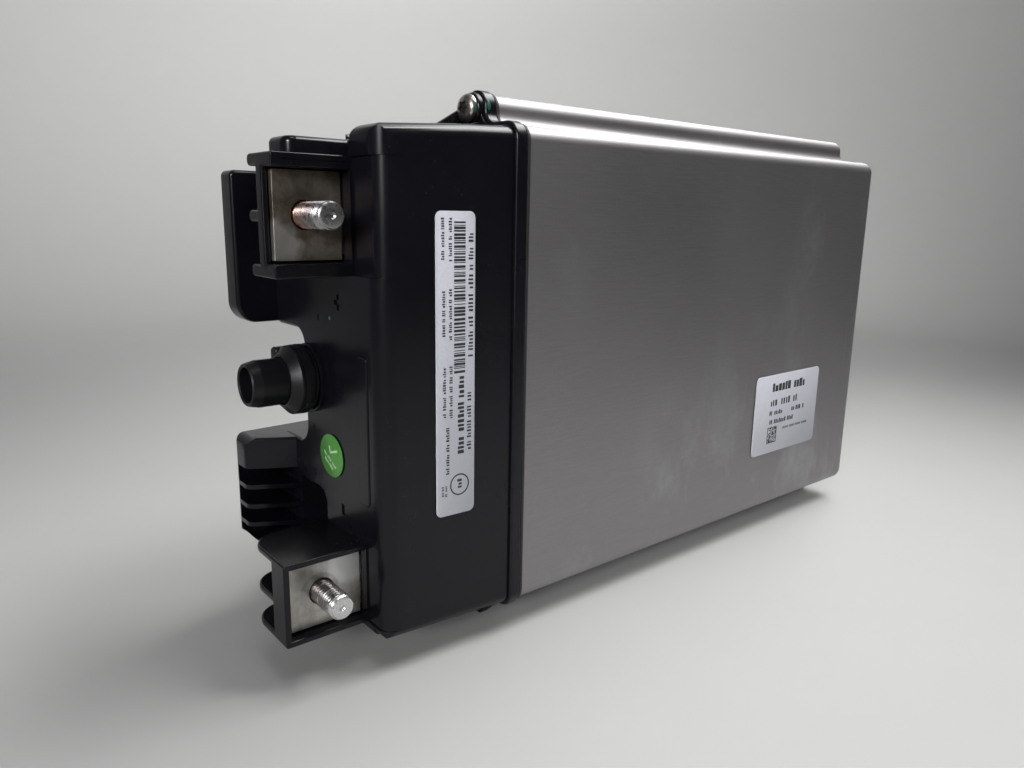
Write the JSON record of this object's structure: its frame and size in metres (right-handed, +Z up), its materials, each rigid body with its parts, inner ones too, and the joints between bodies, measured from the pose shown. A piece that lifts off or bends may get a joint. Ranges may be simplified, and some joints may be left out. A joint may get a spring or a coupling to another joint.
{
  "type": "lithium-ion battery pack",
  "caption": "Low-voltage lithium-ion battery pack in an extruded aluminium can with a black moulded cover, two open terminal trays with threaded studs, and a vent nozzle.",
  "frame": {"origin": "centre of the bounding box in plan, at its lowest point", "axes": "+X along the can towards its closed end, +Y from the labelled side to the other side, +Z up"},
  "size_m": [0.3052, 0.096, 0.1825],
  "materials": {
    "can": "satin, brushed along the length",
    "cover": "black, semi-gloss moulded",
    "seal": "matt black",
    "fastener": "plain",
    "terminal": "dull tin plating over copper",
    "stud": "rolled thread",
    "label": "white polyester label",
    "sticker": "green",
    "cell": "laminate pouch foil",
    "plate": "rolled sheet",
    "foam": "soft foam",
    "carrier": "white moulded",
    "board": "green circuit board",
    "copper": "bare copper",
    "coil": "enamelled copper winding",
    "iron": "plated soft iron",
    "fuse": "ceramic body"
  },
  "bodies": {
    "pack": {"can_housing": "can", "front_cover": "cover", "cover_gasket": "seal", "cover_screw_top": "fastener", "cover_screw_bottom_near": "fastener", "cover_screw_bottom_far": "fastener", "positive_busbar": "terminal", "negative_busbar": "terminal", "positive_stud": "stud", "negative_stud": "stud", "vent_nozzle": "cover", "vent_collar": "cover", "vent_seal_ring": "seal", "vent_lock_ring": "carrier", "vent_valve_spring": "fastener", "cover_label": "label", "can_label": "label", "inspection_sticker": "sticker", "signal_connector": "cover", "contactor_yoke": "iron", "contactor_coil": "coil", "contactor_spring": "fastener", "contact_post_line": "copper", "contact_post_load": "copper", "main_fuse": "fuse", "current_shunt": "copper", "control_board": "board", "board_standoff_1": "fastener", "board_standoff_2": "fastener", "board_standoff_3": "fastener", "board_standoff_4": "fastener", "sense_board": "board", "near_end_plate": "plate", "far_end_plate": "plate", "near_foam_pad": "foam", "far_foam_pad": "foam", "cell_carrier": "carrier", "positive_strap": "copper", "negative_strap": "copper", "cell_01": "cell", "cell_02": "cell", "cell_03": "cell", "cell_04": "cell", "cell_05": "cell", "cell_06": "cell", "cell_07": "cell", "cell_08": "cell", "cell_09": "cell", "cell_10": "cell", "cell_11": "cell", "cell_12": "cell", "cell_13": "cell", "cell_14": "cell"},
    "contactor_armature": {"contactor_plunger": "iron", "contact_bridge": "copper"},
    "relief_valve": {"vent_valve_disc": "seal"}
  },
  "joints": [
    {"name": "contactor_pull_in", "type": "slide", "parent": "pack", "child": "contactor_armature", "axis": [0, 0, 1], "range_m": [-0.002, 0], "stiffness_N_per_m": 600, "springref_m": 0.003, "deforming": ["contactor_spring"]},
    {"name": "relief_valve_lift", "type": "slide", "parent": "pack", "child": "relief_valve", "axis": [-1, 0, 0], "range_m": [0, 0.0025], "stiffness_N_per_m": 300, "springref_m": -0.003, "deforming": ["vent_valve_spring"]}
  ]
}
